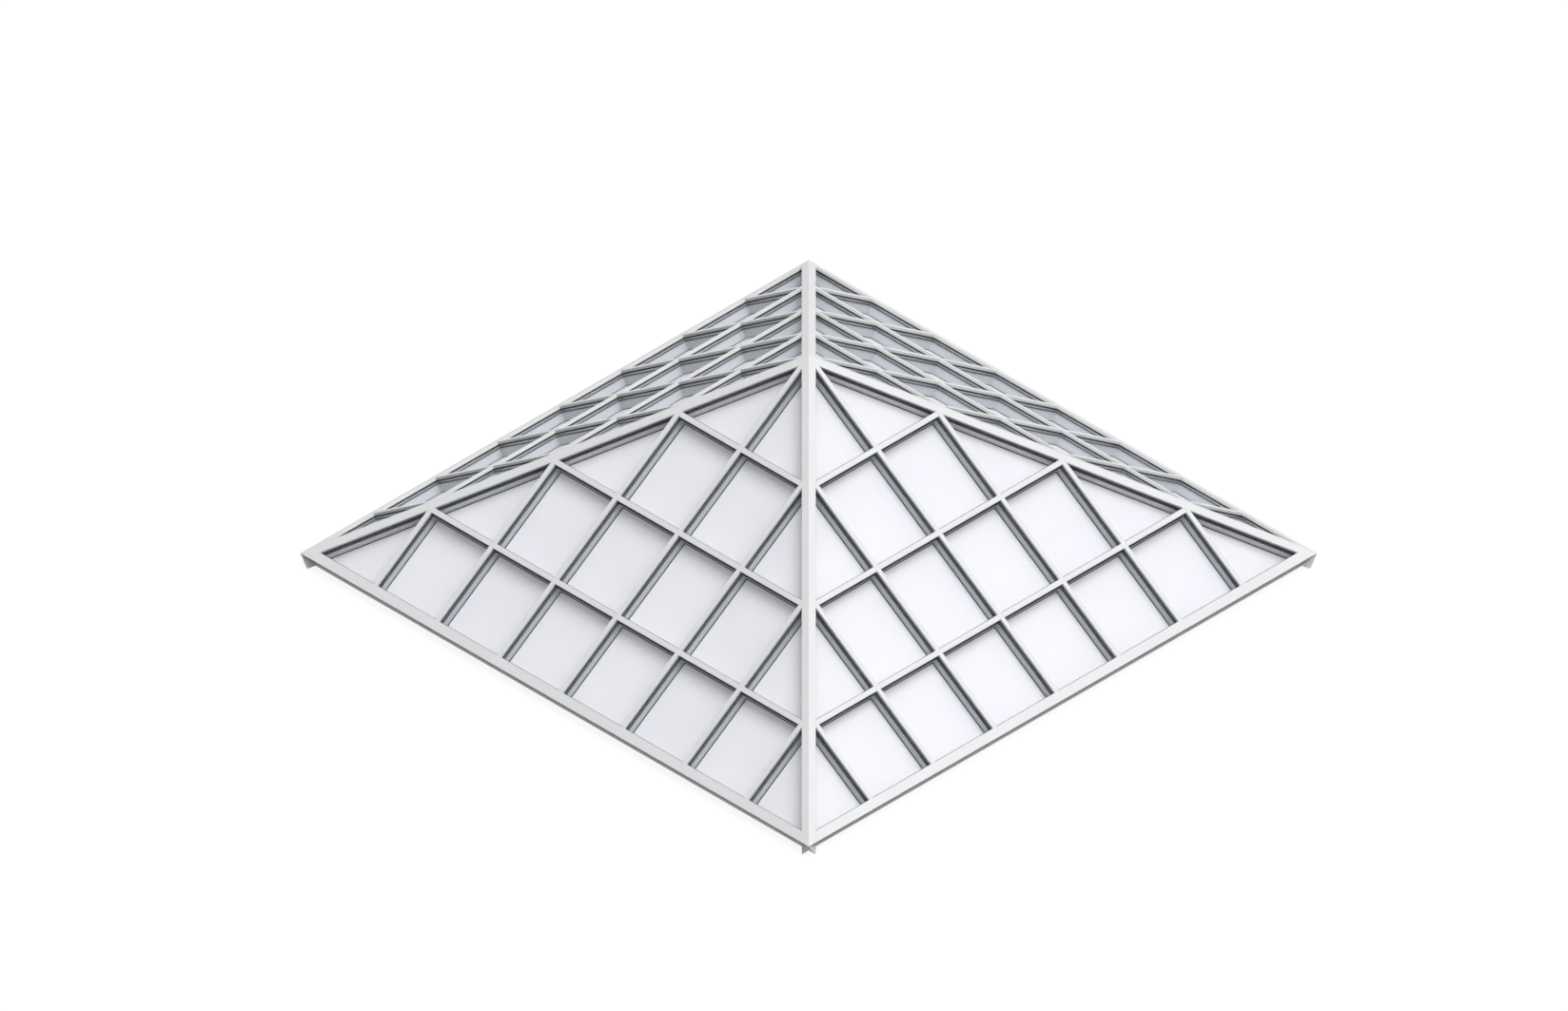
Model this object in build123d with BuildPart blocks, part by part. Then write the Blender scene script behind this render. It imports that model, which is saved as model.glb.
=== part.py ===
from build123d import *

import os
from math import asin, atan2, cos, hypot, radians, sin, sqrt, tan

# Pyramid skylight: four glazed slopes of 34 degrees on a square base. Rafters run up each slope,
# purlins run level between them, and a hip rafter stands on each corner. Everything is square to
# the glass of its own slope. All sizes are millimetres, +Z is up, and the origin is the middle of
# the base, on the level that the sills stand on.

# Layout
bay_width = 900.0             # rafter spacing, and the spacing of the purlins seen in plan
bays_per_side = 8
pitch = 34.0                  # slope of the glass, degrees
member_depth = 180.0          # cap top to underside of every frame member, square to the glass

# Widths, seen square to the glass
rafter_width = 52.0
purlin_width = 58.0
sill_width = 108.0
hip_foot = 2.5                # half the flat left under a hip, where its two sides come together

# Caps and the plates under them
cap_height = 41.0             # cap top to the face of the glass
cap_top = 3.0
cap_leg = 2.5
cap_chamfer = 2.0             # along the top edges of every cap
plate_thick = 8.0
plate_gap = 0.3
hip_plate_start = 22.0        # hip line to the plate's near edge
cap_end = 40.0                # solid end of a hip cap, measured up the hip

# Glass
glass_thick = 28.0            # sealed double unit
glass_bite = 14.0             # how far a unit reaches under a cap
sill_bite = 20.0
glass_gap = 6.0               # edge of a unit to the dam or nose beside it
pane_thick = 4.0              # diffusing inner pane
pane_gap = 1.5                # edge of an inner pane to the member beside it

# Extrusions
wall = 4.0
rib_width = 7.0               # glazing rib along each edge of a rafter or purlin
rib_height = 5.0
nose_width = 14.0             # fin between the glass units
nose_drop = 4.0               # top of the fin, below the face of the glass
slot_width = 5.0              # screw slot in the fin
slot_depth = 22.0
ledge_width = 10.0            # shelf that the inner panes lie on
ledge_thick = 4.0
hub_width = 160.0             # across the flats of the post that the hips meet at the apex
hub_sides = 8                 # a flat for each hip and each middle rafter
hub_drop = 300.0              # apex to the underside of that post

# Worked out from the sizes above
slope_angle = radians(pitch)
half_base = bay_width * bays_per_side / 2
rows = bays_per_side // 2
row_length = bay_width / cos(slope_angle)
half_eave = half_base + member_depth * sin(slope_angle)
eave_height = member_depth * cos(slope_angle)
slope_length = half_eave / cos(slope_angle)
apex_height = eave_height + half_eave * tan(slope_angle)
hip_angle = atan2(slope_length, half_eave)          # eave to hip, on the slope
hip_lean = asin(sin(slope_angle) / sqrt(2))         # tilt of each slope in a cut square to the hip
hip_length = hypot(half_eave, slope_length)
hip_wing = member_depth * tan(hip_lean) + hip_foot  # hip line to the edge of its cap, on each slope
glass_back = cap_height + glass_thick
shoulder = glass_back + rib_height
ledge_top = member_depth - ledge_thick
sill_dam = sill_width - sill_bite - glass_gap
hip_dam = hip_wing - glass_bite - glass_gap
foot_height = sill_width * sin(slope_angle)
shoe_length = (sill_width + hip_wing * cos(hip_angle)) / sin(hip_angle)

face_names = ["front", "right", "back", "left"]
os.makedirs("parts", exist_ok=True)


class Slope:
    """One glazed slope: x runs along the eave, y up the slope, and depth down from the cap tops."""

    def __init__(self, turn):
        self.outward = Vector(0, -1, 0).rotate(Axis.Z, turn)
        self.along = Vector(1, 0, 0).rotate(Axis.Z, turn)
        self.normal = self.outward * sin(slope_angle) + Vector(0, 0, cos(slope_angle))
        self.uphill = self.normal.cross(self.along)
        self.eave_middle = self.outward * half_eave + Vector(0, 0, eave_height)

    def point(self, x, y, depth=0.0):
        return self.eave_middle + self.along * x + self.uphill * y - self.normal * depth

    def layer(self, depth):
        """Plane parallel to the glass, this far below the cap tops."""
        return Plane(origin=self.point(0, 0, depth), x_dir=self.along, z_dir=self.normal)

    def rafter_section(self, x, y):
        """Plane across a member that runs up the slope, with depth as its second direction."""
        return Plane(origin=self.point(x, y), x_dir=self.along, z_dir=self.uphill)

    def purlin_section(self, x, y):
        """Plane across a level member, with downhill first and depth second."""
        return Plane(origin=self.point(x, y), x_dir=self.uphill * -1, z_dir=self.along)

    def hip_point(self, side, inset, run):
        """Place on the slope at this distance in from the hip line and up along it."""
        x = half_eave - run * cos(hip_angle) - inset * sin(hip_angle)
        return (side * x, run * sin(hip_angle) - inset * cos(hip_angle))


def edge_x(inset, y):
    """Half-width of the slope at height y, left inside lines this far in from both hips."""
    return half_eave - inset / sin(hip_angle) - y / tan(hip_angle)


def edge_y(inset, x):
    """Height on the slope where the line this far in from the hip stands over x."""
    return (half_eave - inset / sin(hip_angle) - x) * tan(hip_angle)


def slab(slope, outline, top, bottom, mode=Mode.ADD):
    """Extrude an outline drawn on the slope, from one depth to another."""
    with BuildSketch(slope.layer(top)) as sheet:
        Polygon(*outline)
    extrude(sheet.sketch, amount=top - bottom, mode=mode)


def field(inset, low):
    """Outline of the slope between the hips, from a height above the eave up to its peak."""
    return [(-edge_x(inset, low), low), (edge_x(inset, low), low), (0, edge_y(inset, 0))]


def keep_field(slope, layers):
    """Keep only what lies between the hips: layers of (inset, lowest height, top, bottom)."""
    with BuildPart(mode=Mode.PRIVATE) as clear:
        for inset, low, top, bottom in layers:
            slab(slope, field(inset, low), top, bottom)
    add(clear.part, mode=Mode.INTERSECT)


def rafter_profile(plane):
    """Hollow box with a ledge each side at the foot, glazing ribs and a slotted fin on top."""
    half = rafter_width / 2
    nose = nose_width / 2
    with BuildSketch(plane) as profile:
        with BuildLine():
            Polyline(
                (slot_width / 2, cap_height + nose_drop + slot_depth),
                (slot_width / 2, cap_height + nose_drop),
                (nose, cap_height + nose_drop),
                (nose, shoulder),
                (half - rib_width, shoulder),
                (half - rib_width, glass_back),
                (half, glass_back),
                (half, ledge_top),
                (half + ledge_width, ledge_top),
                (half + ledge_width, member_depth),
                (0, member_depth),
                (0, cap_height + nose_drop + slot_depth),
                close=True,
            )
        make_face()
        mirror(about=Plane.YZ)
        with Locations((0, (shoulder + member_depth) / 2)):
            Rectangle(rafter_width - 2 * wall, member_depth - shoulder - 2 * wall, mode=Mode.SUBTRACT)
    return profile.sketch


def purlin_profile(plane):
    """Hollow box with glazing ribs and a plain fin, stopping short at the rafters' ledges."""
    half = purlin_width / 2
    nose = nose_width / 2
    with BuildSketch(plane) as profile:
        with BuildLine():
            Polyline(
                (0, cap_height + nose_drop),
                (nose, cap_height + nose_drop),
                (nose, shoulder),
                (half - rib_width, shoulder),
                (half - rib_width, glass_back),
                (half, glass_back),
                (half, ledge_top),
                (0, ledge_top),
                close=True,
            )
        make_face()
        mirror(about=Plane.YZ)
        with Locations((0, (shoulder + ledge_top) / 2)):
            Rectangle(purlin_width - 2 * wall, ledge_top - shoulder - 2 * wall, mode=Mode.SUBTRACT)
    return profile.sketch


def cap_profile(plane, width):
    """Channel, open towards the glass."""
    with BuildSketch(plane) as profile:
        with Locations((0, cap_height / 2)):
            Rectangle(width, cap_height)
        chamfer(profile.vertices().group_by(Axis.Y)[0], cap_chamfer)
        with Locations((0, (cap_top + cap_height) / 2)):
            Rectangle(width - 2 * cap_leg, cap_height - cap_top, mode=Mode.SUBTRACT)
    return profile.sketch


def plate_profile(plane, width):
    """Flat bar that lies on the glass inside a cap."""
    with BuildSketch(plane) as profile:
        with Locations((0, cap_height - plate_thick / 2)):
            Rectangle(width - 2 * (cap_leg + plate_gap), plate_thick)
    return profile.sketch


def sill_profile(plane):
    """Box sill with a dam under its cap, a shoulder for the glass and a level foot."""
    toe = (sill_width - foot_height * sin(slope_angle), member_depth + foot_height * cos(slope_angle))
    with BuildSketch(plane) as profile:
        Polygon(
            (0, cap_height),
            (-sill_dam, cap_height),
            (-sill_dam, glass_back),
            (-sill_width, glass_back),
            (-sill_width, member_depth),
            (-toe[0], toe[1]),
            (0, member_depth),
        )
        offset(amount=-wall, kind=Kind.INTERSECTION, mode=Mode.SUBTRACT)
    return profile.sketch


def purlin_spans():
    """Left end, length and height on the slope of every purlin between two rafters."""
    spans = []
    for level in range(1, rows):
        reach = rows - level
        for bay in range(-reach, reach):
            spans.append((bay * bay_width + rafter_width / 2, bay_width - rafter_width, level * row_length))
    return spans


def cell_outlines(member_edge, level_edge, low_edge, hip_inset):
    """Outlines of the panes of one slope, given how far their edges stand off each centre line."""
    outlines = []
    for row in range(rows):
        reach = rows - 1 - row
        low = row * row_length + level_edge if row else low_edge
        high = (row + 1) * row_length - level_edge
        for bay in range(-reach, reach):
            left = bay * bay_width + member_edge
            right = (bay + 1) * bay_width - member_edge
            outlines.append([(left, low), (right, low), (right, high), (left, high)])
        start = reach * bay_width + member_edge
        tip = [(start, edge_y(hip_inset, start))]
        if tip[0][1] > high:
            tip = [(edge_x(hip_inset, high), high), (start, high)]
        for side in (-1, 1):
            half = [(start, low), (edge_x(hip_inset, low), low), *tip]
            outlines.append([(side * x, y) for x, y in half])
    return outlines


def hip_strip(slope, side, width, length, top, bottom, mode=Mode.ADD):
    """Strip of a slope beside the hip line, from the corner to a length up the hip, cut off at the eave."""
    corners = [(0, 0), (width, 0), (width, length), (0, length)]
    with BuildSketch(slope.layer(top)) as strip:
        Polygon(*[slope.hip_point(side, inset, run) for inset, run in corners])
        split(bisect_by=Plane.ZX, keep=Keep.TOP)
    extrude(strip.sketch, amount=top - bottom, mode=mode)


def hip_section_point(inset, depth):
    """A place on one slope, in a cut square to the hip: level distance, then height."""
    return (
        inset * cos(hip_lean) - depth * sin(hip_lean),
        -inset * sin(hip_lean) - depth * cos(hip_lean),
    )


def hip_profile(plane, outline):
    """Both sides of a hip from the outline of one, trimmed on the hip's own upright plane."""
    with BuildSketch(plane) as profile:
        Polygon(*[hip_section_point(inset, depth) for inset, depth in outline])
        split(bisect_by=Plane.YZ, keep=Keep.TOP)
        mirror(about=Plane.YZ)
    return profile.sketch


def hip_plane(first, second):
    """Plane square to the hip at its foot, between the slope on its left and the one on its right."""
    corner = first.point(half_eave, 0)
    level = (first.along + second.along) * -1
    return Plane(origin=corner, x_dir=level, z_dir=Vector(0, 0, apex_height) - corner)


slopes = {name: Slope(90 * index) for index, name in enumerate(face_names)}
corner_slopes = {}
for index, name in enumerate(face_names):
    following = face_names[(index + 1) % 4]
    corner_slopes["_".join(sorted([name, following]))] = (slopes[name], slopes[following])
corner_shoes = {}

# Corner shoes: both wings of the hip run on square to their own slope, so each ends in a tail
# that passes under the eave of the other.
for corner, (first, second) in corner_slopes.items():
    with BuildPart() as corner_shoe:
        hip_strip(first, 1, hip_wing, shoe_length, cap_height, member_depth)
        hip_strip(second, -1, hip_wing, shoe_length, cap_height, member_depth)
        hip_strip(first, 1, hip_wing, shoe_length, 0, cap_height, mode=Mode.SUBTRACT)
        hip_strip(second, -1, hip_wing, shoe_length, 0, cap_height, mode=Mode.SUBTRACT)
        slab(first, field(hip_dam, sill_dam), cap_height, glass_back, mode=Mode.SUBTRACT)
        slab(second, field(hip_dam, sill_dam), cap_height, glass_back, mode=Mode.SUBTRACT)
    corner_shoe.part.label = f"corner_shoe_{corner}"
    export_step(corner_shoe.part, f"parts/corner_shoe_{corner}.step")
    corner_shoes[corner] = corner_shoe.part

# Apex hub: a post with a flat for each hip and each middle rafter, pointed to the pitch of the
# slopes, so that the four top pairs of glass units lie on it.
with BuildPart() as apex_hub:
    with BuildSketch(Plane.XY.offset(apex_height - hub_drop)):
        RegularPolygon(hub_width / 2, hub_sides, major_radius=False, rotation=180 / hub_sides)
    extrude(amount=hub_drop)
    for slope in slopes.values():
        split(bisect_by=slope.layer(glass_back), keep=Keep.BOTTOM)
apex_hub.part.label = "apex_hub"
export_step(apex_hub.part, "parts/apex_hub.step")

# Hips: a kite section, whose two sides stand square to the glass of their own slopes.
sill_outline = [
    (-edge_x(hip_wing, 0), 0),
    (edge_x(hip_wing, 0), 0),
    (edge_x(hip_wing, sill_width), sill_width),
    (-edge_x(hip_wing, sill_width), sill_width),
]
hip_body_side = [
    (0, cap_height),
    (hip_dam, cap_height),
    (hip_dam, glass_back),
    (hip_wing, glass_back),
    (hip_wing, ledge_top),
    (hip_wing + ledge_width, ledge_top),
    (hip_wing + ledge_width, member_depth),
    (0, member_depth),
]
hip_cap_side = [
    (0, 0),
    (hip_wing - cap_chamfer, 0),
    (hip_wing, cap_chamfer),
    (hip_wing, cap_height),
    (hip_wing - cap_leg, cap_height),
    (hip_wing - cap_leg, cap_top),
    (0, cap_top),
]
hip_hollow_side = [
    (0, cap_height + wall),
    (hip_dam - wall, cap_height + wall),
    (hip_dam - wall, glass_back + wall),
    (hip_wing - wall, glass_back + wall),
    (hip_wing - wall, ledge_top - wall),
    (0, ledge_top - wall),
]
for corner, (first, second) in corner_slopes.items():
    foot = hip_plane(first, second)
    with BuildPart() as hip_rafter:
        section = foot.offset(shoe_length)
        extrude(hip_profile(section, hip_body_side), amount=hip_length - shoe_length)
        extrude(hip_profile(section, hip_hollow_side), amount=hip_length - shoe_length, mode=Mode.SUBTRACT)
        for slope in (first, second):
            split(bisect_by=Plane(origin=(0, 0, 0), z_dir=slope.outward), keep=Keep.TOP)
            slab(slope, sill_outline, ledge_top, member_depth, mode=Mode.SUBTRACT)
        add(apex_hub.part, mode=Mode.SUBTRACT)
    hip_rafter.part.label = f"hip_rafter_{corner}"
    export_step(hip_rafter.part, f"parts/hip_rafter_{corner}.step")

    with BuildPart() as hip_cap:
        extrude(hip_profile(foot, hip_cap_side), amount=hip_length)
        for slope in (first, second):
            split(bisect_by=Plane(origin=(0, 0, 0), z_dir=slope.outward), keep=Keep.TOP)
            split(bisect_by=Plane(origin=slope.eave_middle, z_dir=slope.uphill), keep=Keep.TOP)
        hip_strip(first, 1, hip_wing - cap_leg, cap_end, cap_top, cap_height)
        hip_strip(second, -1, hip_wing - cap_leg, cap_end, cap_top, cap_height)
    hip_cap.part.label = f"hip_cap_{corner}"
    export_step(hip_cap.part, f"parts/hip_cap_{corner}.step")

for name, slope in slopes.items():
    # Sill: its outer side is square to the glass, and its foot is level.
    with BuildPart() as sill:
        start = edge_x(hip_wing, 0)
        extrude(sill_profile(slope.purlin_section(-start, 0)), amount=2 * start)
        keep_field(slope, [(hip_wing, 0, cap_height, member_depth + foot_height)])
        for side in (-1, 1):
            bisector = slope.outward + slope.along * side
            split(bisect_by=Plane(origin=(0, 0, 0), z_dir=bisector), keep=Keep.TOP)
        for corner, corner_shoe in corner_shoes.items():
            if name in corner:
                add(corner_shoe, mode=Mode.SUBTRACT)
    sill.part.label = f"sill_{name}"
    export_step(sill.part, f"parts/sill_{name}.step")

    # Rafters, cut at the top to the sides of the hips.
    with BuildPart() as rafters:
        for line in range(1 - rows, rows):
            section = slope.rafter_section(line * bay_width, sill_width)
            extrude(rafter_profile(section), amount=slope_length - sill_width)
        keep_field(slope, [
            (hip_wing, sill_width, 0, ledge_top),
            (hip_wing + ledge_width, sill_width, ledge_top, member_depth),
        ])
        add(apex_hub.part, mode=Mode.SUBTRACT)
    rafters.part.label = f"rafters_{name}"
    export_step(rafters.part, f"parts/rafters_{name}.step")

    # Purlins, between the rafters and resting on their ledges.
    with BuildPart() as purlins:
        for left, length, height in purlin_spans():
            extrude(purlin_profile(slope.purlin_section(left, height)), amount=length)
        keep_field(slope, [(hip_wing, sill_width, 0, member_depth)])
    purlins.part.label = f"purlins_{name}"
    export_step(purlins.part, f"parts/purlins_{name}.step")

    # Rafter caps run through from the sill cap to the hip caps.
    with BuildPart() as rafter_caps:
        for line in range(1 - rows, rows):
            section = slope.rafter_section(line * bay_width, sill_width)
            extrude(cap_profile(section, rafter_width), amount=slope_length - sill_width)
        keep_field(slope, [(hip_wing, sill_width, 0, cap_height)])
    rafter_caps.part.label = f"rafter_caps_{name}"
    export_step(rafter_caps.part, f"parts/rafter_caps_{name}.step")

    # Level caps: one on each purlin, and the wide one along the sill.
    with BuildPart() as level_caps:
        for left, length, height in purlin_spans():
            extrude(cap_profile(slope.purlin_section(left, height), purlin_width), amount=length)
        section = slope.purlin_section(-half_eave, sill_width / 2)
        extrude(cap_profile(section, sill_width), amount=2 * half_eave)
        keep_field(slope, [(hip_wing, 0, 0, cap_height)])
    level_caps.part.label = f"level_caps_{name}"
    export_step(level_caps.part, f"parts/level_caps_{name}.step")

    # Pressure plates, hidden inside the caps.
    with BuildPart() as pressure_plates:
        inside = hip_wing + plate_gap
        for line in range(1 - rows, rows):
            section = slope.rafter_section(line * bay_width, sill_width + plate_gap)
            extrude(plate_profile(section, rafter_width), amount=slope_length - sill_width)
        for left, length, height in purlin_spans():
            section = slope.purlin_section(left + plate_gap, height)
            extrude(plate_profile(section, purlin_width), amount=length - 2 * plate_gap)
        section = slope.purlin_section(-half_eave, sill_width / 2)
        extrude(plate_profile(section, sill_width), amount=2 * half_eave)
        keep_field(slope, [(inside, 0, cap_height - plate_thick, cap_height)])
        for side in (-1, 1):
            ends = [
                (hip_plate_start, cap_end + plate_gap),
                (hip_wing - cap_leg - plate_gap, hip_wing),
                (hip_wing - cap_leg - plate_gap, hip_length - 2 * hip_wing),
                (hip_plate_start, hip_length - 2 * hip_wing),
            ]
            slab(slope, [slope.hip_point(side, *end) for end in ends], cap_height - plate_thick, cap_height)
    pressure_plates.part.label = f"pressure_plates_{name}"
    export_step(pressure_plates.part, f"parts/pressure_plates_{name}.step")

    # Glass units, lying on the ribs, with their edges under the caps.
    with BuildPart() as glass:
        bite_line = rafter_width / 2 - glass_bite
        level_line = purlin_width / 2 - glass_bite
        for outline in cell_outlines(bite_line, level_line, sill_width - sill_bite, hip_wing - glass_bite):
            slab(slope, outline, cap_height, glass_back)
    glass.part.label = f"glass_{name}"
    export_step(glass.part, f"parts/glass_{name}.step")

    # Inner panes, lying on the ledges of the rafters and hips.
    with BuildPart() as inner_panes:
        bite_line = rafter_width / 2 + pane_gap
        level_line = purlin_width / 2 + pane_gap
        for outline in cell_outlines(bite_line, level_line, sill_width + pane_gap, hip_wing + pane_gap):
            slab(slope, outline, ledge_top - pane_thick, ledge_top)
        with BuildPart(mode=Mode.PRIVATE) as hub_clearance:
            offset(apex_hub.part, amount=pane_gap, kind=Kind.INTERSECTION)
        add(hub_clearance.part, mode=Mode.SUBTRACT)
    inner_panes.part.label = f"inner_panes_{name}"
    export_step(inner_panes.part, f"parts/inner_panes_{name}.step")
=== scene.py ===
"""Looks of a glazed pyramid skylight, dressed around its fixed frame. Everything is in metres."""

import logging
import math
from dataclasses import dataclass
from enum import Enum
from typing import Iterable

import bmesh
import bpy
from mathutils import Matrix, Vector


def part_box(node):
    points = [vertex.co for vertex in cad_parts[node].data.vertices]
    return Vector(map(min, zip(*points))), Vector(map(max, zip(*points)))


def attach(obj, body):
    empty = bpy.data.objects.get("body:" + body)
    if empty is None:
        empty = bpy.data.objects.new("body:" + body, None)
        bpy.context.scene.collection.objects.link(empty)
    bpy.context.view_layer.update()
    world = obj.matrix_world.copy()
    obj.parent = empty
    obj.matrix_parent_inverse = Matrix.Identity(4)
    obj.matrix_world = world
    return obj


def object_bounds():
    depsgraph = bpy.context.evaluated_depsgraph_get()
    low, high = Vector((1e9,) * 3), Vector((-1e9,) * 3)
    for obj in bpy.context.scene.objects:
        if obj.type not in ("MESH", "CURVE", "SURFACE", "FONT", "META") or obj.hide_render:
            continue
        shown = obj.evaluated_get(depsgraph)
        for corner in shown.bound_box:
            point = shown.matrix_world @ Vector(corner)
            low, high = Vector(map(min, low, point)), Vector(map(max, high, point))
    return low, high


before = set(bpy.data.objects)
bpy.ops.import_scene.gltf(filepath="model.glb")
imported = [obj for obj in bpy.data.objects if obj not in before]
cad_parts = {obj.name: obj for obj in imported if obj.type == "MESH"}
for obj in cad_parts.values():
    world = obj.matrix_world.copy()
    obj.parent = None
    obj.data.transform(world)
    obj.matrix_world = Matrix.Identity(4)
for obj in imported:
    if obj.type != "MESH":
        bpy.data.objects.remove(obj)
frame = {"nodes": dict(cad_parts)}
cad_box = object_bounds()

MILLIMETRE = 0.001
MERGE_GAP = 0.001 * MILLIMETRE  # corners nearer than this are one
PATCH_STOPS = (0.35, 0.65)  # where soft patches start and stop turning from one tone to the other
GLASS_INDEX = 1.5  # soda-lime glass
WHITE = (1.0, 1.0, 1.0, 1.0)
log = logging.getLogger("skylight")


class Face(Enum):
    """The four slopes, by the quarter turns that bring the front one onto each."""

    FRONT = 0
    RIGHT = 1
    BACK = 2
    LEFT = 3


def linear(code: str) -> tuple[float, float, float, float]:
    """Turn an sRGB hex colour into Blender's linear one.

    Args:
        code: the colour as "#rrggbb".

    Returns:
        Red, green, blue and an alpha of one.
    """
    shares = [int(code[i:i + 2], 16) / 255 for i in (1, 3, 5)]
    return (*[s / 12.92 if s <= 0.04045 else ((s + 0.055) / 1.055) ** 2.4 for s in shares], 1.0)


def add_node(tree: bpy.types.NodeTree, kind: str, settings: dict | None = None,
             inputs: dict | None = None) -> bpy.types.Node:
    """Add a shader node.

    Args:
        tree: the node tree that takes it.
        kind: the node's type name, without the leading "ShaderNode".
        settings: properties of the node itself, by name.
        inputs: for each input, by name or number, either a value or the output that feeds it.

    Returns:
        The new node.
    """
    node = tree.nodes.new("ShaderNode" + kind)
    for name, value in (settings or {}).items():
        setattr(node, name, value)
    for name, value in (inputs or {}).items():
        if isinstance(value, bpy.types.NodeSocket):
            tree.links.new(value, node.inputs[name])
        else:
            node.inputs[name].default_value = value
    return node


def empty_material(name: str) -> tuple[bpy.types.Material, bpy.types.NodeTree, bpy.types.NodeSocket]:
    """Start a material that holds nothing yet.

    Args:
        name: the material's name.

    Returns:
        The material, its node tree, and the object coordinates that its patterns read.
    """
    material = bpy.data.materials.new(name)
    material.use_nodes = True
    tree = material.node_tree
    tree.nodes.clear()
    place = add_node(tree, "TexCoord").outputs["Object"]
    return material, tree, place


def patches(tree: bpy.types.NodeTree, place: bpy.types.NodeSocket, size: float, colours: tuple[str, str],
            detail: float = 3.0) -> bpy.types.NodeSocket:
    """Two close tones in soft patches.

    Args:
        tree: the node tree.
        place: the coordinates to read.
        size: how far apart the patches are, in metres.
        colours: the two tones, as hex colours.
        detail: how many finer layers the pattern has.

    Returns:
        The colour output.
    """
    noise = add_node(tree, "TexNoise", None, {"Vector": place, "Scale": 1 / size, "Detail": detail})
    ramp = add_node(tree, "ValToRGB", None, {"Fac": noise.outputs["Fac"]})
    for stop, code, spot in zip(ramp.color_ramp.elements, colours, PATCH_STOPS):
        stop.position = spot
        stop.color = linear(code)
    return ramp.outputs["Color"]


@dataclass(frozen=True)
class PowderCoat:
    """Polyester powder baked onto aluminium.

    The eye gets an even, satin, slightly soft surface: a broad sheen, the faint dimples called orange
    peel, and hardly any change of tone. Real dimples are 1 to 2 mm apart, which is too fine to show on a
    skylight of this size, so they are drawn 8 mm apart.
    """

    name: str
    light: str
    dark: str
    roughness: float = 0.42
    patch: float = 0.7
    peel: float = 8 * MILLIMETRE
    peel_depth: float = 0.08 * MILLIMETRE
    rub: float = 0.175
    uneven: float = 0.05

    def material(self) -> bpy.types.Material:
        """Make the material."""
        material, tree, place = empty_material(self.name)
        tone = patches(tree, place, self.patch, (self.dark, self.light))
        dimples = add_node(tree, "TexNoise", None, {"Vector": place, "Scale": 1 / self.peel, "Detail": 1.0})
        bump = add_node(tree, "Bump", None, {"Height": dimples.outputs["Fac"], "Distance": self.peel_depth})
        rubbed = add_node(tree, "TexNoise", None, {"Vector": place, "Scale": 1 / self.rub, "Detail": 2.0})
        shine = add_node(tree, "MapRange", None, {
            "Value": rubbed.outputs["Fac"], "To Min": self.roughness - self.uneven,
            "To Max": self.roughness + self.uneven})
        coat = add_node(tree, "BsdfPrincipled", None, {
            "Base Color": tone, "Roughness": shine.outputs["Result"], "Normal": bump.outputs["Normal"]})
        add_node(tree, "OutputMaterial", None, {"Surface": coat.outputs["BSDF"]})
        return material


@dataclass(frozen=True)
class SealedGlass:
    """Toughened double glazing with a low-iron outer sheet.

    The eye gets a clear, faintly cool pane that mirrors a little of the sky from its top face, the broad
    wave that the furnace rollers leave, about 350 mm from crest to crest, and a thin film of dust that
    dulls the mirror in smears.
    """

    name: str = "coated_float_glass_sealed_unit"
    tint: str = "#fdfdfe"
    shine: float = 0.10
    wave: float = 0.35
    wave_depth: float = 0.4 * MILLIMETRE
    smear: float = 0.12
    clean: float = 0.02
    haze: float = 0.10
    mirror: str = "#f4f8fb"

    def material(self) -> bpy.types.Material:
        """Make the material: most light passes straight through, and the top face mirrors a little."""
        material, tree, place = empty_material(self.name)
        ripple = add_node(tree, "TexNoise", None, {"Vector": place, "Scale": 1 / self.wave, "Detail": 0.0})
        bump = add_node(tree, "Bump", None, {"Height": ripple.outputs["Fac"], "Distance": self.wave_depth})
        through = add_node(tree, "BsdfTransparent", None, {"Color": linear(self.tint)})
        film = add_node(tree, "TexNoise", None, {"Vector": place, "Scale": 1 / self.smear, "Detail": 4.0})
        dulled = add_node(tree, "MapRange", None, {
            "Value": film.outputs["Fac"], "To Min": self.clean, "To Max": self.haze})
        mirror = add_node(tree, "BsdfGlossy", None, {
            "Color": linear(self.mirror), "Roughness": dulled.outputs["Result"],
            "Normal": bump.outputs["Normal"]})
        grazing = add_node(tree, "Fresnel", None, {"IOR": GLASS_INDEX, "Normal": bump.outputs["Normal"]})
        held = add_node(tree, "Math", {"operation": "MINIMUM"}, {0: grazing.outputs["Fac"], 1: self.shine})
        side = add_node(tree, "NewGeometry")
        front = add_node(tree, "Math", {"operation": "SUBTRACT"}, {0: 1.0, 1: side.outputs["Backfacing"]})
        share = add_node(tree, "Math", {"operation": "MULTIPLY"}, {0: held.outputs[0], 1: front.outputs[0]})
        both = add_node(tree, "MixShader", None, {
            "Fac": share.outputs[0], 1: through.outputs["BSDF"], 2: mirror.outputs["BSDF"]})
        add_node(tree, "OutputMaterial", None, {"Surface": both.outputs["Shader"]})
        return material


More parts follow.
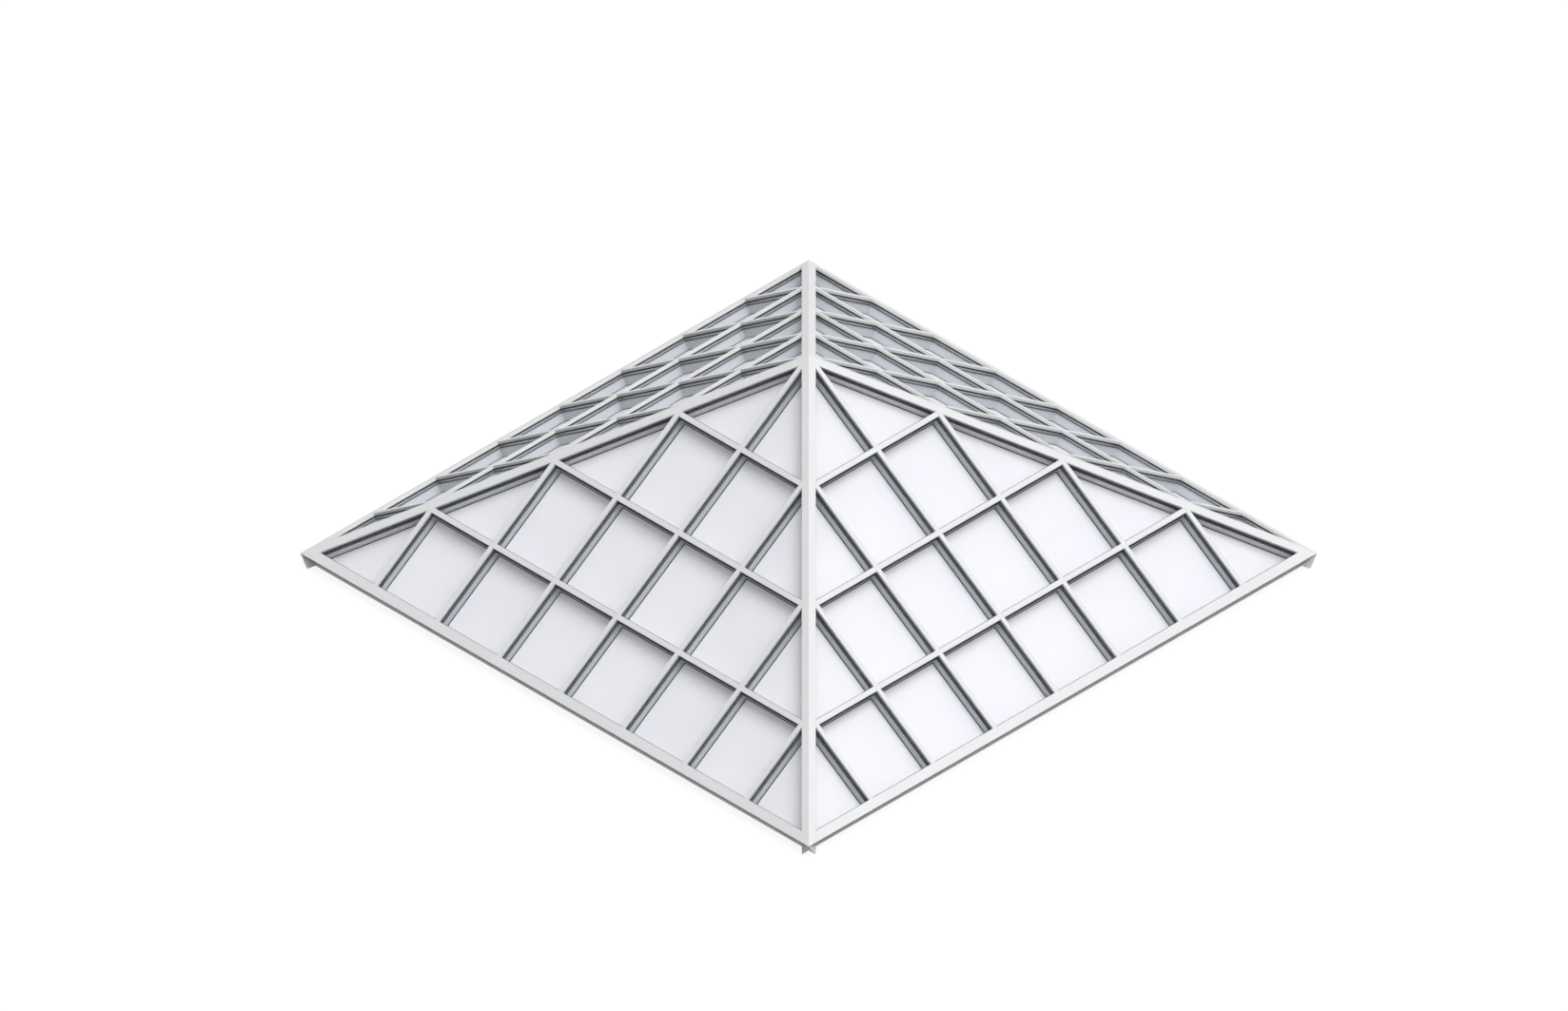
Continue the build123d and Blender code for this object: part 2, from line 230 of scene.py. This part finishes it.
@dataclass(frozen=True)
class OpalSheet:
    """Cast opal acrylic, cut from sheet.

    The eye gets a smooth white that is the same all through, glows a little with the light behind it, and
    has the soft, uneven sheen of a cast face.
    """

    name: str = "cast_opal_acrylic"
    light: str = "#fafafa"
    dark: str = "#f8f8f9"
    roughness: float = 0.38
    uneven: float = 0.06
    glow: float = 0.28
    patch: float = 0.9
    cast: float = 0.18

    def material(self) -> bpy.types.Material:
        """Make the material."""
        material, tree, place = empty_material(self.name)
        tone = patches(tree, place, self.patch, (self.dark, self.light), 1.0)
        cast = add_node(tree, "TexNoise", None, {"Vector": place, "Scale": 1 / self.cast, "Detail": 2.0})
        sheen = add_node(tree, "MapRange", None, {
            "Value": cast.outputs["Fac"], "To Min": self.roughness - self.uneven,
            "To Max": self.roughness + self.uneven})
        face = add_node(tree, "BsdfPrincipled", None, {
            "Base Color": tone, "Roughness": sheen.outputs["Result"]})
        behind = add_node(tree, "BsdfTranslucent", None, {"Color": tone})
        both = add_node(tree, "MixShader", None, {
            "Fac": self.glow, 1: face.outputs["BSDF"], 2: behind.outputs["BSDF"]})
        add_node(tree, "OutputMaterial", None, {"Surface": both.outputs["Shader"]})
        return material


@dataclass(frozen=True)
class BareMetal:
    """Metal with no coat, as it came from the press, the roll or the header.

    The eye gets a dull grey shine that is broken into a fine grain. Real grain is under 0.5 mm, which is
    too fine to show, so it is drawn 2 mm wide.
    """

    name: str
    light: str
    dark: str
    roughness: float
    uneven: float = 0.06
    grain: float = 2 * MILLIMETRE
    stain: float = 80 * MILLIMETRE

    def material(self) -> bpy.types.Material:
        """Make the material."""
        material, tree, place = empty_material(self.name)
        tone = patches(tree, place, self.stain, (self.dark, self.light))
        grain = add_node(tree, "TexNoise", None, {"Vector": place, "Scale": 1 / self.grain, "Detail": 2.0})
        shine = add_node(tree, "MapRange", None, {
            "Value": grain.outputs["Fac"], "To Min": self.roughness - self.uneven,
            "To Max": self.roughness + self.uneven})
        metal = add_node(tree, "BsdfPrincipled", None, {
            "Base Color": tone, "Metallic": 1.0, "Roughness": shine.outputs["Result"]})
        add_node(tree, "OutputMaterial", None, {"Surface": metal.outputs["BSDF"]})
        return material


@dataclass(frozen=True)
class Rubber:
    """Extruded EPDM rubber.

    The eye gets a near-black, matt line with a grey bloom in patches where the weather reaches it, and a
    faintly gritty skin. Real grit is under 0.3 mm, which is too fine to show, so it is drawn 1.5 mm across.
    """

    name: str = "extruded_epdm_rubber"
    light: str = "#26282a"
    dark: str = "#17181a"
    roughness: float = 0.72
    bloom: float = 0.12
    grit: float = 1.5 * MILLIMETRE
    grit_depth: float = 0.03 * MILLIMETRE

    def material(self) -> bpy.types.Material:
        """Make the material."""
        material, tree, place = empty_material(self.name)
        tone = patches(tree, place, self.bloom, (self.dark, self.light))
        grit = add_node(tree, "TexNoise", None, {"Vector": place, "Scale": 1 / self.grit, "Detail": 1.0})
        bump = add_node(tree, "Bump", None, {"Height": grit.outputs["Fac"], "Distance": self.grit_depth})
        skin = add_node(tree, "BsdfPrincipled", None, {
            "Base Color": tone, "Roughness": self.roughness, "Normal": bump.outputs["Normal"]})
        add_node(tree, "OutputMaterial", None, {"Surface": skin.outputs["BSDF"]})
        return material


@dataclass(frozen=True)
class Layout:
    """Sizes that the slopes are set out from, with the eave and the pitch taken from the frame."""

    half_eave: float
    slope: float
    bay: float = 0.9
    member_depth: float = 0.18
    rafter_width: float = 0.052
    purlin_width: float = 0.058
    sill_width: float = 0.108
    hip_foot: float = 0.0025
    ledge_width: float = 0.010
    cap_height: float = 0.041
    glass_thick: float = 0.028
    pane_thick: float = 0.004
    ledge_thick: float = 0.004
    settling_rounds: int = 20

    @classmethod
    def from_box(cls, box: tuple[Vector, Vector]) -> "Layout":
        """Find the pitch at which the cap tops stand a member's depth off the sills' foot.

        Args:
            box: the frame's low and high corners.

        Returns:
            The layout, with its slope in radians.
        """
        reach, height = box[1].x, box[1].z
        slope = math.atan2(height, reach)
        for _ in range(cls.settling_rounds):
            slope = math.atan2(height - cls.member_depth * math.cos(slope), reach)
        return cls(half_eave=reach, slope=slope)

    @property
    def rows(self) -> int:
        """Rows of panes up each slope."""
        return round((self.half_eave - self.member_depth * math.sin(self.slope)) / self.bay)

    @property
    def row_length(self) -> float:
        """Purlin spacing, measured up the slope."""
        return self.bay / math.cos(self.slope)

    @property
    def hip_angle(self) -> float:
        """Angle from the eave to the hip, on the slope."""
        return math.atan2(1 / math.cos(self.slope), 1)

    @property
    def hip_wing(self) -> float:
        """Hip line to the edge of its cap, on each slope."""
        lean = math.asin(math.sin(self.slope) / math.sqrt(2))
        return self.member_depth * math.tan(lean) + self.hip_foot

    @property
    def pane_top(self) -> float:
        """Depth of the inner panes' upper face below the cap tops."""
        return self.member_depth - self.ledge_thick - self.pane_thick

    def edge_x(self, inset: float, y: float) -> float:
        """Half-width of the slope at height y, between lines this far in from both hips."""
        return self.half_eave - inset / math.sin(self.hip_angle) - y / math.tan(self.hip_angle)

    def edge_y(self, inset: float, x: float) -> float:
        """Height on the slope where the line this far in from the hip stands over x."""
        return (self.half_eave - inset / math.sin(self.hip_angle) - x) * math.tan(self.hip_angle)

    def cells(self, inside: float) -> list[list[tuple[float, float]]]:
        """Outlines of the openings of one slope.

        Args:
            inside: how far the outline stands inside the edges of the members round it. A negative
                one lies under their caps.

        Returns:
            A list of corners for each opening, in the slope's own x and y.
        """
        outlines = []
        for row in range(self.rows):
            reach = self.rows - 1 - row
            low = (row * self.row_length + self.purlin_width / 2 if row else self.sill_width) + inside
            high = (row + 1) * self.row_length - self.purlin_width / 2 - inside
            edge = self.rafter_width / 2 + inside
            for bay in range(-reach, reach):
                left, right = bay * self.bay + edge, (bay + 1) * self.bay - edge
                outlines.append([(left, low), (right, low), (right, high), (left, high)])
            start = reach * self.bay + edge
            hip = self.hip_wing + inside
            corner = [(start, low), (self.edge_x(hip, low), low)]
            if self.edge_y(hip, start) > high:
                corner += [(self.edge_x(hip, high), high), (start, high)]
            else:
                corner += [(start, self.edge_y(hip, start))]
            outlines.append(corner)
            outlines.append([(-x, y) for x, y in reversed(corner)])
        return outlines


@dataclass(frozen=True)
class Slope:
    """One slope's own axes: x along the eave, y up the slope, and depth down from the cap tops."""

    face: Face
    layout: Layout

    @property
    def turn(self) -> Matrix:
        """The turn that brings the front slope onto this one."""
        return Matrix.Rotation(self.face.value * math.pi / 2, 3, "Z")

    @property
    def along(self) -> Vector:
        """Direction along the eave."""
        return self.turn @ Vector((1, 0, 0))

    @property
    def normal(self) -> Vector:
        """Direction out of the glass."""
        return self.turn @ Vector((0, -math.sin(self.layout.slope), math.cos(self.layout.slope)))

    @property
    def uphill(self) -> Vector:
        """Direction up the glass."""
        return self.normal.cross(self.along)

    def point(self, x: float, y: float, depth: float = 0.0) -> Vector:
        """A place on the slope, this far below the cap tops."""
        eave = self.turn @ Vector((0, -self.layout.half_eave, 0))
        eave.z = self.layout.member_depth * math.cos(self.layout.slope)
        return eave + self.along * x + self.uphill * y - self.normal * depth

    def frame_at(self, x: float, y: float, depth: float) -> Matrix:
        """Placement on the slope whose Z points out of the glass."""
        turn = Matrix((self.along, self.uphill, self.normal)).transposed()
        return Matrix.Translation(self.point(x, y, depth)) @ turn.to_4x4()


def ease(mesh: bmesh.types.BMesh, edges: list[bmesh.types.BMEdge], rounding: float) -> None:
    """Round edges off.

    Args:
        mesh: the bmesh they belong to.
        edges: the edges.
        rounding: how far from each edge the rounding starts.
    """
    bmesh.ops.bevel(mesh, geom=edges, offset=rounding, offset_type="OFFSET", segments=2, profile=0.5,
                    affect="EDGES", material=-1, clamp_overlap=True)


def top_face(faces: Iterable[bmesh.types.BMFace]) -> bmesh.types.BMFace:
    """The highest of some faces, and of those equally high the largest."""
    return max(faces, key=lambda face: (round(face.calc_center_median().z, 6), face.calc_area()))


def repeated(pattern: bmesh.types.BMesh, places: list[Matrix]) -> bmesh.types.BMesh:
    """Copy one small shape to many places.

    Args:
        pattern: the shape, which is freed.
        places: where each copy goes.

    Returns:
        A bmesh of all the copies.
    """
    data = bpy.data.meshes.new("pattern")
    pattern.to_mesh(data)
    pattern.free()
    mesh = bmesh.new()
    for place in places:
        done = len(mesh.verts)
        mesh.from_mesh(data)
        mesh.verts.ensure_lookup_table()
        bmesh.ops.transform(mesh, verts=mesh.verts[done:], matrix=place)
    bpy.data.meshes.remove(data)
    return mesh


def finished_piece(name: str, mesh: bmesh.types.BMesh, material: bpy.types.Material) -> bpy.types.Object:
    """Close a bmesh into an object that rides on the skylight.

    Args:
        name: the piece's name.
        mesh: the bmesh, which is freed.
        material: its finish.

    Returns:
        The object.
    """
    bmesh.ops.remove_doubles(mesh, verts=mesh.verts, dist=MERGE_GAP)
    bmesh.ops.recalc_face_normals(mesh, faces=mesh.faces)
    data = bpy.data.meshes.new(name)
    mesh.to_mesh(data)
    mesh.free()
    piece = bpy.data.objects.new(name, data)
    bpy.context.scene.collection.objects.link(piece)
    data.materials.append(material)
    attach(piece, "root")
    log.info("%s: %d faces", name, len(data.polygons))
    return piece


@dataclass
class EdgeStrips:
    """Strips that follow the edges of every opening, mitred at the corners.

    inside is how far a strip's outer edge stands inside the opening, and top and bottom are depths below
    the cap tops.
    """

    name: str
    layout: Layout
    inside: float
    width: float
    top: float
    bottom: float
    rounding: float
    slot_name: str | None = None
    lip_angle: float = math.radians(45)

    def ring(self, mesh: bmesh.types.BMesh, slope: Slope, outline: list[tuple[float, float]]) -> None:
        """Add the strip round one opening.

        Args:
            mesh: the bmesh that takes it.
            slope: the slope it lies on.
            outline: the strip's outer edge.
        """
        corners = [mesh.verts.new(slope.point(x, y, self.bottom)) for x, y in outline]
        sheet = mesh.faces.new(corners)
        sheet.normal_update()
        rim = bmesh.ops.inset_individual(mesh, faces=[sheet], thickness=self.width, use_even_offset=True)
        bmesh.ops.delete(mesh, geom=[sheet], context="FACES_ONLY")
        raised = bmesh.ops.extrude_face_region(mesh, geom=rim["faces"])["geom"]
        lifted = [part for part in raised if isinstance(part, bmesh.types.BMVert)]
        bmesh.ops.translate(mesh, verts=lifted, vec=slope.normal * (self.bottom - self.top))
        lips = [part for part in raised if isinstance(part, bmesh.types.BMEdge) and self.is_lip(part)]
        ease(mesh, lips, self.rounding)

    def is_lip(self, edge: bmesh.types.BMEdge) -> bool:
        """True for an edge that runs along the strip, between its top and a side."""
        return len(edge.link_faces) == 2 and edge.calc_face_angle(0.0) > self.lip_angle

    def build(self, slopes: list[Slope], material: bpy.types.Material) -> None:
        """Build and dress one piece for each slope.

        Args:
            slopes: the four slopes.
            material: the strips' finish.
        """
        for slope in slopes:
            mesh = bmesh.new()
            for outline in self.layout.cells(self.inside):
                self.ring(mesh, slope, outline)
            piece = finished_piece(f"{self.name}_{slope.face.name.lower()}", mesh, material)


@dataclass
class EaveSeals:
    """The rubber bead under the outer leg of each sill cap."""

    layout: Layout
    height: float = 4 * MILLIMETRE
    proud: float = 3 * MILLIMETRE
    rounding: float = 1.2 * MILLIMETRE

    def build(self, slopes: list[Slope], material: bpy.types.Material) -> None:
        """Build and dress one bead for each slope.

        Args:
            slopes: the four slopes.
            material: the bead's finish.
        """
        half = self.layout.edge_x(self.layout.hip_wing, 0)
        for slope in slopes:
            mesh = bmesh.new()
            bead = bmesh.ops.create_cube(mesh, size=1)["verts"]
            shape = Matrix.Diagonal((2 * half, self.proud, self.height, 1))
            place = slope.frame_at(0, -self.proud / 2, self.layout.cap_height)
            bmesh.ops.transform(mesh, verts=bead, matrix=place @ shape)
            long_edges = [edge for edge in mesh.edges if edge.calc_length() > half]
            ease(mesh, long_edges, self.rounding)
            finished_piece(f"eave_seal_{slope.face.name.lower()}", mesh, material)


@dataclass
class LedgeScrews:
    """Pan-head screws up through the rafters' ledges into the ends of the purlins."""

    layout: Layout
    head: float = 7 * MILLIMETRE
    crown: float = 5.88 * MILLIMETRE
    height: float = 2.6 * MILLIMETRE
    rounding: float = 0.7 * MILLIMETRE
    rim: float = 0.78 * MILLIMETRE
    socket_draft: float = 0.13 * MILLIMETRE
    socket_depth: float = 1.3 * MILLIMETRE
    spread: float = 30 * MILLIMETRE
    sides: int = 16

    def head_mesh(self) -> bmesh.types.BMesh:
        """Make one screw head, domed, with a round socket, standing on its origin."""
        mesh = bmesh.new()
        bmesh.ops.create_cone(mesh, cap_ends=True, segments=self.sides, radius1=self.head / 2,
                              radius2=self.crown / 2, depth=self.height)
        bmesh.ops.translate(mesh, verts=mesh.verts, vec=(0, 0, self.height / 2))
        ease(mesh, list(top_face(mesh.faces).edges), self.rounding)
        crown = top_face(mesh.faces)
        bmesh.ops.inset_individual(mesh, faces=[crown], thickness=self.rim)
        bmesh.ops.inset_individual(mesh, faces=[crown], thickness=self.socket_draft, depth=-self.socket_depth)
        return mesh

    def places(self, slope: Slope) -> list[Matrix]:
        """Where one slope's screws go, each with Z pointing down out of the ledge."""
        sizes = self.layout
        off = sizes.rafter_width / 2 + sizes.ledge_width / 2
        over = Matrix.Rotation(math.pi, 4, "X")
        found = []
        for level in range(1, sizes.rows):
            height = level * sizes.row_length
            reach = sizes.rows - level
            for bay in range(-reach, reach):
                for x in (bay * sizes.bay + off, (bay + 1) * sizes.bay - off):
                    if abs(x) < sizes.edge_x(sizes.hip_wing + 2 * sizes.ledge_width, height):
                        found += [slope.frame_at(x, y, sizes.member_depth) @ over
                                  for y in (height - self.spread / 2, height + self.spread / 2)]
        return found

    def build(self, slopes: list[Slope], material: bpy.types.Material) -> None:
        """Build and dress the screws of each slope.

        Args:
            slopes: the four slopes.
            material: the screws' finish.
        """
        for slope in slopes:
            mesh = repeated(self.head_mesh(), self.places(slope))
            finished_piece(f"ledge_screws_{slope.face.name.lower()}", mesh, material)


@dataclass
class HubBolts:
    """Hexagon bolts on washers, in a ring under the foot of the hub."""

    foot: float
    ring: float = 52 * MILLIMETRE
    count: int = 8
    across_flats: float = 17 * MILLIMETRE
    head: float = 6.4 * MILLIMETRE
    washer: float = 24 * MILLIMETRE
    washer_thick: float = 2 * MILLIMETRE
    washer_sides: int = 20
    rounding: float = 0.8 * MILLIMETRE

    def disc(self, mesh: bmesh.types.BMesh, sides: int, radius: float, low: float, high: float) -> None:
        """Add an upright prism with its top rim eased.

        Args:
            mesh: the bmesh that takes it.
            sides: its number of sides.
            radius: centre to corner.
            low: where it starts.
            high: where it ends.
        """
        made = bmesh.ops.create_cone(mesh, cap_ends=True, segments=sides, radius1=radius, radius2=radius,
                                     depth=high - low)["verts"]
        bmesh.ops.translate(mesh, verts=made, vec=(0, 0, (low + high) / 2))
        crown = top_face({face for vert in made for face in vert.link_faces})
        ease(mesh, list(crown.edges), self.rounding)

    def build(self, material: bpy.types.Material) -> None:
        """Build and dress the ring of bolts.

        Args:
            material: the bolts' finish.
        """
        bolt = bmesh.new()
        self.disc(bolt, self.washer_sides, self.washer / 2, 0, self.washer_thick)
        self.disc(bolt, 6, self.across_flats / 2 / math.cos(math.pi / 6), self.washer_thick,
                  self.washer_thick + self.head)
        hung = Matrix.Translation((self.ring, 0, self.foot)) @ Matrix.Rotation(math.pi, 4, "X")
        turns = [2 * math.pi * (number + 0.5) / self.count for number in range(self.count)]
        mesh = repeated(bolt, [Matrix.Rotation(turn, 4, "Z") @ hung for turn in turns])
        finished_piece("hub_bolts", mesh, material)


@dataclass
class Coverings:
    """The finishes of the carried-over pieces, by the first words of their names."""

    finishes: dict[str, bpy.types.Material]

    def dress(self, nodes: dict[str, bpy.types.Object]) -> None:
        """Put each piece's finish in its material slots.

        Args:
            nodes: the carried-over pieces by name.
        """
        for name, piece in sorted(nodes.items()):
            finish = next(material for words, material in self.finishes.items() if name.startswith(words))
            if not piece.material_slots:
                piece.data.materials.append(finish)
            for slot in piece.material_slots:
                slot.material = finish
            log.info("%s: %s", name, finish.name)


@dataclass
class Studio:
    """Pale floor, soft light from above on the right, and a camera that looks with parallel rays.

    The floor gives less light outside the skylight than inside, where it stands for a bright room.
    """

    floor_size: float = 160.0
    floor_gap: float = 0.5 * MILLIMETRE
    floor_glow: float = 0.88
    floor_shown: float = 1.02
    floor_tone: str = "#fafafa"
    ground_tone: str = "#fbfcfd"
    sky_tone: str = "#f6f7fb"
    room_half: float = 3.4
    room_light: float = 0.95
    ground_light: float = 0.11
    key_from: tuple[float, float, float] = (0.33, 0.02, 0.94)
    key_level: float = 0.72
    key_spread: float = 45.0
    sky_low: float = 0.03
    sky_high: float = 0.80
    sky_from: tuple[float, float, float] = (0.32, 0.12, 0.94)
    pixel: float = 0.009793
    picture_width: int = 1648
    shift_right: float = -0.2546
    shift_up: float = 0.4906
    eave_height: float = 0.1492
    distance: float = 14.0
    view_range: tuple[float, float] = (0.1, 200.0)

    def seen(self, tree: bpy.types.NodeTree) -> bpy.types.NodeSocket:
        """One for rays that show the surroundings themselves, by sight, in a mirror or through glass."""
        path = add_node(tree, "LightPath")
        either = add_node(tree, "Math", {"operation": "MAXIMUM"}, {
            0: path.outputs["Is Camera Ray"], 1: path.outputs["Is Glossy Ray"]})
        return add_node(tree, "Math", {"operation": "MAXIMUM"}, {
            0: either.outputs[0], 1: path.outputs["Is Transmission Ray"]}).outputs[0]

    def floor(self) -> None:
        """Lay the floor, which can be looked through from below."""
        mesh = bmesh.new()
        bmesh.ops.create_grid(mesh, x_segments=1, y_segments=1, size=self.floor_size / 2)
        bmesh.ops.translate(mesh, verts=mesh.verts, vec=(0, 0, -self.floor_gap))
        data = bpy.data.meshes.new("floor")
        mesh.to_mesh(data)
        mesh.free()
        floor = bpy.data.objects.new("floor", data)
        bpy.context.scene.collection.objects.link(floor)
        material, tree, _ = empty_material("white_painted_floor")
        place = add_node(tree, "TexCoord").outputs["Object"]
        spot = add_node(tree, "SeparateXYZ", None, {0: add_node(tree, "VectorMath", {
            "operation": "ABSOLUTE"}, {0: place}).outputs[0]})
        out = add_node(tree, "Math", {"operation": "MAXIMUM"}, {0: spot.outputs[0], 1: spot.outputs[1]})
        room = add_node(tree, "Math", {"operation": "LESS_THAN"}, {0: out.outputs[0], 1: self.room_half})
        # Rays from the skylight see the floor as an emitter, a dim glow outside and a bright one under the
        # skylight, standing in for bounced light and a lit room.
        level = add_node(tree, "MapRange", None, {
            "Value": room.outputs[0], "To Min": self.ground_light, "To Max": self.room_light})
        floor_light = add_node(tree, "Emission", None, {
            "Color": linear(self.ground_tone), "Strength": level.outputs["Result"]})
        bright = add_node(tree, "BsdfDiffuse", None, {"Color": linear(self.floor_tone)})
        glow = add_node(tree, "Emission", None, {"Color": WHITE, "Strength": self.floor_shown})
        shown = add_node(tree, "MixShader", None, {
            "Fac": self.floor_glow, 1: bright.outputs["BSDF"], 2: glow.outputs["Emission"]})
        top = add_node(tree, "MixShader", None, {
            "Fac": self.seen(tree), 1: floor_light.outputs["Emission"], 2: shown.outputs["Shader"]})
        clear = add_node(tree, "BsdfTransparent", None, {"Color": WHITE})
        below = add_node(tree, "NewGeometry").outputs["Backfacing"]
        both = add_node(tree, "MixShader", None, {
            "Fac": below, 1: top.outputs["Shader"], 2: clear.outputs["BSDF"]})
        add_node(tree, "OutputMaterial", None, {"Surface": both.outputs["Shader"]})
        data.materials.append(material)

    def sky(self) -> None:
        """Light the scene from overhead, leaning to the right, and leave the horizon dim."""
        world = bpy.data.worlds.new("sky")
        bpy.context.scene.world = world
        world.use_nodes = True
        tree = world.node_tree
        tree.nodes.clear()
        way = add_node(tree, "TexCoord").outputs["Generated"]
        side = Vector(self.sky_from).normalized()
        toward = add_node(tree, "VectorMath", {"operation": "DOT_PRODUCT"}, {0: way, 1: side})
        level = add_node(tree, "MapRange", None, {
            "Value": toward.outputs["Value"], "To Min": self.sky_low, "To Max": self.sky_high})
        dome = add_node(tree, "Background", None, {
            "Color": linear(self.sky_tone), "Strength": level.outputs["Result"]})
        backdrop = add_node(tree, "Background", None, {"Color": WHITE, "Strength": 1.0})
        both = add_node(tree, "MixShader", None, {
            "Fac": self.seen(tree), 1: dome.outputs["Background"], 2: backdrop.outputs["Background"]})
        add_node(tree, "OutputWorld", None, {"Surface": both.outputs["Shader"]})

    def key(self) -> None:
        """Hang the wide key light."""
        data = bpy.data.lights.new("key", "SUN")
        data.energy = self.key_level * math.pi
        data.angle = math.radians(self.key_spread)
        lamp = bpy.data.objects.new("key", data)
        lamp.rotation_mode = "QUATERNION"
        lamp.rotation_quaternion = Vector(self.key_from).to_track_quat("Z", "Y")
        bpy.context.scene.collection.objects.link(lamp)

    def camera(self) -> None:
        """Stand the camera at a true isometric view."""
        back = Vector((1, -1, 1)).normalized()
        right = Vector((1, 1, 0)).normalized()
        up = back.cross(right)
        middle = Vector((0, 0, self.eave_height)) + right * self.shift_right + up * self.shift_up
        data = bpy.data.cameras.new("camera")
        data.type = "ORTHO"
        data.ortho_scale = self.picture_width * self.pixel
        data.clip_start, data.clip_end = self.view_range
        camera = bpy.data.objects.new("camera", data)
        camera.rotation_mode = "QUATERNION"
        camera.rotation_quaternion = back.to_track_quat("Z", "Y")
        camera.location = middle + back * self.distance
        bpy.context.scene.collection.objects.link(camera)
        bpy.context.scene.camera = camera

    def build(self) -> None:
        """Set up the floor, light and camera."""
        self.floor()
        self.sky()
        self.key()
        self.camera()
        bpy.context.scene.view_settings.view_transform = "Standard"


def main() -> None:
    """Build the strips, screws and finishes in order, then the studio."""
    layout = Layout.from_box(cad_box)
    slopes = [Slope(face, layout) for face in Face]
    log.info("slope %.3f degrees, %d rows", math.degrees(layout.slope), layout.rows)

    # Caps, hips and shoes: the white coat as it is, a touch glossier.
    white = PowderCoat("white_powder_coat_on_aluminium", "#dddede", "#dbdbdb", roughness=0.36).material()
    # Rafters, purlins and sills: the same white coat made greyer and flatter; the grey is painted shade, so
    # the depth under the caps reads.
    grey = PowderCoat("grey_white_powder_coat_on_aluminium", "#cacdd1", "#c6c9cd").material()
    # Pressure plates: dull grey with a faint grain, seen only where a cap ends.
    mill = BareMetal("mill_finish_extruded_aluminium", "#c9cbcd", "#bfc2c4", 0.45).material()
    # Spacer bars: a paler, flatter grey that makes the thin light line inside the edge of each unit.
    rolled = BareMetal("rolled_aluminium_spacer_bar", "#d5d7d9", "#cbced0", 0.5).material()
    # Screws and bolts: a sharper shine than the aluminium round them.
    steel = BareMetal("cold_headed_stainless_steel", "#b9bbbc", "#a5a7a9", 0.32).material()
    rubber = Rubber().material()
    Coverings({
        "rafter_caps": white,
        "level_caps": white,
        "hip_cap": white,
        "hip_rafter": white,
        "corner_shoe": white,
        "apex_hub": white,
        # Rafters, purlins and sills take the greyer copy of the white coat: painted shade.
        "rafters": grey,
        "purlins": grey,
        "sill": grey,
        "pressure_plates": mill,
        "glass": SealedGlass().material(),
        "inner_panes": OpalSheet().material(),
    }).dress(frame["nodes"])

    glass_back = layout.cap_height + layout.glass_thick
    touch = 0.2 * MILLIMETRE
    EdgeStrips(
        "weather_gaskets", layout, inside=touch, width=10 * MILLIMETRE,
        top=layout.cap_height - 11 * MILLIMETRE, bottom=layout.cap_height - touch,
        rounding=2.5 * MILLIMETRE).build(slopes, rubber)
    EdgeStrips(
        "rib_gaskets", layout, inside=touch, width=9 * MILLIMETRE,
        top=glass_back + touch, bottom=glass_back + 5 * MILLIMETRE,
        rounding=1.2 * MILLIMETRE).build(slopes, rubber)
    EdgeStrips(
        "pane_gaskets", layout, inside=touch, width=9 * MILLIMETRE,
        top=layout.pane_top - 6 * MILLIMETRE, bottom=layout.pane_top - touch,
        rounding=1.5 * MILLIMETRE).build(slopes, rubber)
    EdgeStrips(
        "spacer_bars", layout, inside=-12 * MILLIMETRE, width=10 * MILLIMETRE,
        top=layout.cap_height + 6 * MILLIMETRE, bottom=glass_back - 6 * MILLIMETRE,
        rounding=0.8 * MILLIMETRE, slot_name="plate_aluminium").build(slopes, rolled)
    EaveSeals(layout).build(slopes, rubber)
    LedgeScrews(layout).build(slopes, steel)
    HubBolts(foot=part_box("apex_hub")[0].z).build(steel)
    Studio().build()


if __name__ == "__main__":
    logging.basicConfig(level=logging.INFO, format="%(message)s")
    main()
